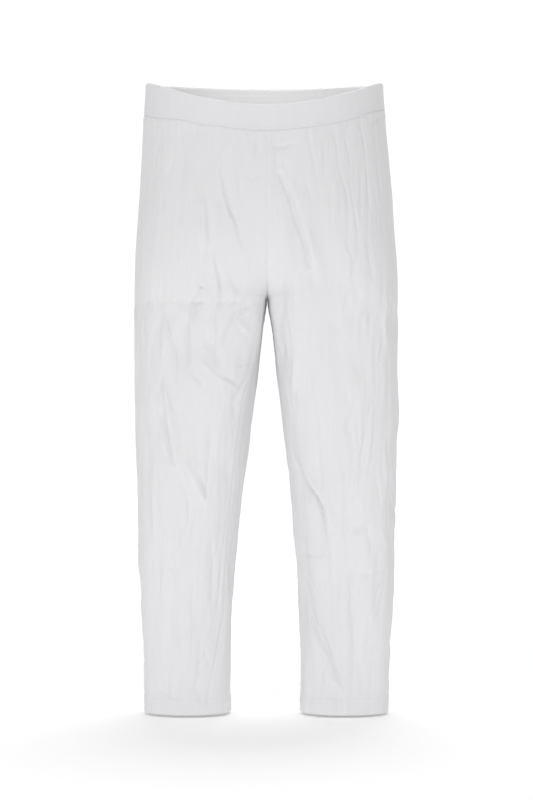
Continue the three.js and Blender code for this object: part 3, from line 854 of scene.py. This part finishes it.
stitch = {"length": 2.3, "gap": 0.7, "wide": 0.36, "high": 0.2, "lift": 0.08}


def valueAt(place, walk, values):
    # the value at a place along a walked line
    return np.array([np.interp(place, walk, values[:, axis]) for axis in range(3)])


def stitchRow(bm, line, normals):
    # one small rounded thread after another along a line that closes on itself
    line = np.vstack([line, line[:1]])
    normals = np.vstack([normals, normals[:1]])
    walk = np.concatenate([[0], np.cumsum(np.linalg.norm(np.diff(line, axis=0), axis=1))])
    count = int(walk[-1] / (stitch["length"] + stitch["gap"]))
    pace = walk[-1] / count
    sizes = Matrix.Diagonal((stitch["length"] / 2, stitch["wide"] / 2, stitch["high"] / 2, 1))
    for k in range(count):
        middle = (k + 0.5) * pace
        first = valueAt(middle - stitch["length"] / 2, walk, line)
        second = valueAt(middle + stitch["length"] / 2, walk, line)
        forward = Vector(second - first).normalized()
        across = Vector(valueAt(middle, walk, normals)).normalized().cross(forward).normalized()
        outward = forward.cross(across)
        place = Vector(valueAt(middle, walk, line)) + outward * stitch["lift"]
        turn = Matrix((forward, across, outward)).transposed().to_4x4()
        where = Matrix.Translation(place * mm) @ turn @ sizes @ Matrix.Scale(mm, 4)
        bmesh.ops.create_uvsphere(bm, u_segments=6, v_segments=5, radius=1, matrix=where)


def stitchPiece(name, lines):
    bm = bmesh.new()
    for line, normals in lines:
        stitchRow(bm, line, normals)
    bmesh.ops.recalc_face_normals(bm, faces=bm.faces)
    for face in bm.faces:
        face.smooth = True
    return intoScene(name, bm)


stitches = {}
for leg, (cloth, points, normals, drops) in legs.items():
    lines = []
    for line in hem["stitches"]:
        row = int(np.abs(drops[:panel["rows"] + 1] - (cut["hemDrop"] - line)).argmin())
        lines.append((points[row, :-1], normals[row, :-1]))
    stitches[leg] = stitchPiece("hemStitches" + leg.capitalize(), lines)
outerRows = casingRows[:casing["edgeRows"] + casing["outerRows"], 0]
seamRow = int(np.abs(outerRows - (cut["bandHeight"] - casing["stitchLine"])).argmin())
waistLine = (casingPoints[seamRow, :-1], casingNormals[seamRow, :-1])
waistStitches = stitchPiece("waistStitches", [waistLine])
print("stitches", [len(thing.data.polygons) for thing in (*stitches.values(), waistStitches)])


# Finishes.

class Wire:
    # a socket that takes part in Python sums
    def __init__(self, shade, socket):
        self.shade, self.socket = shade, socket

    def sum(self, operation, other, turned=False):
        first, second = (other, self) if turned else (self, other)
        return self.shade.node("ShaderNodeMath", {"operation": operation}, {0: first, 1: second})

    def __add__(self, other):
        return self.sum("ADD", other)

    def __radd__(self, other):
        return self.sum("ADD", other, True)

    def __sub__(self, other):
        return self.sum("SUBTRACT", other)

    def __rsub__(self, other):
        return self.sum("SUBTRACT", other, True)

    def __mul__(self, other):
        return self.sum("MULTIPLY", other)

    def __rmul__(self, other):
        return self.sum("MULTIPLY", other, True)


class Shade:
    # the nodes of a material or a world
    def __init__(self, owner):
        owner.use_nodes = True
        self.tree = owner.node_tree
        self.tree.nodes.clear()

    def node(self, kind, settings, inputs, output=0):
        made = self.tree.nodes.new(kind)
        for name, value in settings.items():
            setattr(made, name, value)
        for name, value in inputs.items():
            if isinstance(value, Wire):
                self.tree.links.new(value.socket, made.inputs[name])
            else:
                made.inputs[name].default_value = value
        return Wire(self, made.outputs[output]) if made.outputs else None


def clothFinish(name, look):
    material = bpy.data.materials.new(name)
    shade = Shade(material)
    chart = shade.node("ShaderNodeTexCoord", {}, {}, "UV")
    split = shade.node("ShaderNodeSeparateXYZ", {}, {0: chart})
    across = split * (2 * math.pi / (look["wale"] * mm))
    down = Wire(shade, split.socket.node.outputs["Y"]) * (2 * math.pi / (look["course"] * mm))
    wales = across.sum("COSINE", 0.0)
    leaning = wales * look["lean"] + down     # each course bends at every wale
    loops = wales * 0.5 + leaning.sum("SINE", 0.0) * 0.5
    place = shade.node("ShaderNodeTexCoord", {}, {}, "Object")
    streakPlace = shade.node("ShaderNodeMapping", {}, {"Vector": place, "Scale": look["streakScale"]})
    streaks = shade.node("ShaderNodeTexNoise", {}, {
        "Vector": streakPlace, "Scale": 1.0, "Detail": 3.0, "Roughness": 0.55})
    cloudPlace = shade.node("ShaderNodeMapping", {}, {"Vector": place, "Scale": look["cloudScale"]})
    clouds = shade.node("ShaderNodeTexNoise", {}, {"Vector": cloudPlace, "Scale": 1.0, "Detail": 2.0})
    tone = shade.node("ShaderNodeMix", {"data_type": "RGBA"},
                      {"Factor": clouds, "A": look["shade"], "B": look["colour"]}, 2)
    # Painted light: from a set distance round the section, the casing's inner face takes a lighter colour in
    # place of the light that would reach the hollow of the waist.
    if "inside" in look:
        inner = Wire(shade, split.socket.node.outputs["Y"]).sum("GREATER_THAN", look["insideFrom"] * mm)
        tone = shade.node("ShaderNodeMix", {"data_type": "RGBA"},
                          {"Factor": inner, "A": tone, "B": look["inside"]}, 2)
    roughness = clouds * look["roughnessSpread"] + (look["roughness"] - look["roughnessSpread"] / 2)
    crinkles = shade.node("ShaderNodeBump", {}, {
        "Strength": 1.0, "Distance": look["streakHeight"] * mm, "Height": streaks})
    knit = shade.node("ShaderNodeBump", {}, {
        "Strength": 1.0, "Distance": look["knitHeight"] * mm, "Height": loops, "Normal": crinkles})
    surface = shade.node("ShaderNodeBsdfPrincipled", {}, {
        "Base Color": tone, "Roughness": roughness, "Normal": knit,
        "Sheen Weight": look["sheen"], "Sheen Roughness": 0.5, "Specular IOR Level": 0.3})
    shade.node("ShaderNodeOutputMaterial", {}, {"Surface": surface})
    return material


jerseyLook = {
    "colour": (0.86, 0.86, 0.873, 1),
    "shade": (0.83, 0.83, 0.844, 1),
    "roughness": 0.9,
    "roughnessSpread": 0.06,
    "sheen": 0.12,
    "lean": 1.3,
    "wale": 0.85,
    "course": 0.7,
    "knitHeight": 0.03,
    "streakScale": (240, 240, 55),
    "streakHeight": 0.55,
    "cloudScale": (30, 30, 14),
}
# Painted light: the casing's inner face is a lighter colour than its outer face, to stand in for light
# falling into the hollow of the waist.
casingLook = {**jerseyLook, "streakScale": (260, 260, 160), "streakHeight": 0.18,
              "inside": (0.96, 0.96, 0.965, 1), "insideFrom": 24.0}     # how far round the section it starts
threadLook = {**jerseyLook, "wale": 0.3, "course": 0.3, "knitHeight": 0.01, "sheen": 0.2,
              "colour": (0.81, 0.81, 0.82, 1), "shade": (0.78, 0.78, 0.79, 1)}
jerseyFinish = clothFinish("whiteJersey", jerseyLook)
casingFinish = clothFinish("casingJersey", casingLook)
threadFinish = clothFinish("sewingThread", threadLook)
print("finishes made")


def areaOf(thing):
    return sum(face.area for face in thing.data.polygons)


for leg, (cloth, points, normals, drops) in legs.items():
    cloth.data.materials.append(jerseyFinish)
    stitches[leg].data.materials.append(threadFinish)
    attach(cloth, "root")
    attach(stitches[leg], "root")
    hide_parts("leg_" + leg)
    print("cloth area", leg, round(areaOf(cloth), 4))

waistCasing.data.materials.append(casingFinish)
waistStitches.data.materials.append(threadFinish)
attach(waistCasing, "root")
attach(waistStitches, "root")
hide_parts("waistband")
print("casing area", round(areaOf(waistCasing), 4))


# Camera, floor and light.

view = {"distance": 1600.0, "frameHeight": 616.0, "across": -0.6, "middleDrop": 242.6, "sensor": 36.0}
cameraData = bpy.data.cameras.new("viewpoint")
cameraData.sensor_width = view["sensor"]
cameraData.lens = view["sensor"] * view["distance"] / view["frameHeight"]
camera = bpy.data.objects.new("viewpoint", cameraData)
cameraHeight = cut["bandHeight"] / 2 - view["middleDrop"]
camera.location = (view["across"] * mm, -view["distance"] * mm, cameraHeight * mm)
camera.rotation_euler = (math.pi / 2, 0, 0)
bpy.context.scene.collection.objects.link(camera)
bpy.context.scene.camera = camera

ground = {
    "size": 12.0,
    "under": 1.7,          # mm below the hems
    "nearGlow": 0.24,      # the floor glows faintly, and more from near to far behind the leggings
    "farGlow": 0.6,
    "near": 0.3,
    "far": 1.2,
    "colour": (0.97, 0.97, 0.97, 1),
}
bm = bmesh.new()
bmesh.ops.create_grid(bm, x_segments=2, y_segments=2, size=ground["size"] / 2)
floorLevel = cut["bandHeight"] / 2 - cut["hemDrop"] - ground["under"]
bmesh.ops.translate(bm, verts=bm.verts, vec=(0, 0, floorLevel * mm))
floor = intoScene("floor", bm)
floorFinish = bpy.data.materials.new("paleFloor")
floorShade = Shade(floorFinish)
floorPlace = floorShade.node("ShaderNodeTexCoord", {}, {}, "Object")
behind = floorShade.node("ShaderNodeSeparateXYZ", {}, {0: floorPlace}, "Y")
floorGlow = floorShade.node("ShaderNodeMapRange", {"interpolation_type": "SMOOTHSTEP"}, {
    "Value": behind, "From Min": ground["near"], "From Max": ground["far"],
    "To Min": ground["nearGlow"], "To Max": ground["farGlow"]})
floorSurface = floorShade.node("ShaderNodeBsdfPrincipled", {}, {
    "Base Color": ground["colour"], "Roughness": 0.9, "Specular IOR Level": 0.0,
    "Emission Color": floorGlow, "Emission Strength": 1.0})
floorShade.node("ShaderNodeOutputMaterial", {}, {"Surface": floorSurface})
floor.data.materials.append(floorFinish)

usualLamp = {"aim": (0, 0, -0.22), "spread": 180}
lamps = [
    {"name": "keyLight", "place": (-1.2, -2.1, 0.25), "size": 0.9, "power": 8.1},
    {"name": "fillLight", "place": (1.3, -2.2, -0.05), "size": 1.6, "power": 4.0},
    {"name": "legLight", "place": (0.1, -1.8, -0.1), "size": 0.7, "power": 0.12,
     "aim": (0, 0, -0.5), "spread": 35},
    {"name": "waistLight", "place": (0, -0.09, 0.5), "size": 0.3, "power": 0.33, "aim": (0, 0, 0)},
    {"name": "bandLight", "place": (0, -0.3, 0.25), "size": 0.12, "power": 0.009,
     "aim": (0, 0.056, 0), "spread": 22},
    {"name": "backLight", "place": (0.1, 0.75, 1.95), "size": 1.0, "power": 16.0},
]
for row in lamps:
    lamp = {**usualLamp, **row}
    lampData = bpy.data.lights.new(lamp["name"], "AREA")
    lampData.shape = "DISK"
    lampData.size = lamp["size"]
    lampData.energy = lamp["power"]
    lampData.spread = math.radians(lamp["spread"])
    lampObject = bpy.data.objects.new(lamp["name"], lampData)
    lampObject.location = lamp["place"]
    aim = Vector(lamp["aim"]) - Vector(lamp["place"])
    lampObject.rotation_euler = aim.to_track_quat("-Z", "Y").to_euler()
    bpy.context.scene.collection.objects.link(lampObject)

room = {"light": 0.485, "seen": 1.05}     # how bright the room is as light, and as a white background
world = bpy.data.worlds.new("softRoom")
worldShade = Shade(world)
seen = worldShade.node("ShaderNodeLightPath", {}, {}, "Is Camera Ray")
glow = seen * (room["seen"] - room["light"]) + room["light"]
surround = worldShade.node("ShaderNodeBackground", {}, {"Color": (1, 1, 1, 1), "Strength": glow})
worldShade.node("ShaderNodeOutputWorld", {}, {"Surface": surround})
bpy.context.scene.world = world
bpy.context.scene.view_settings.view_transform = "Standard"
print("camera, floor and light placed")
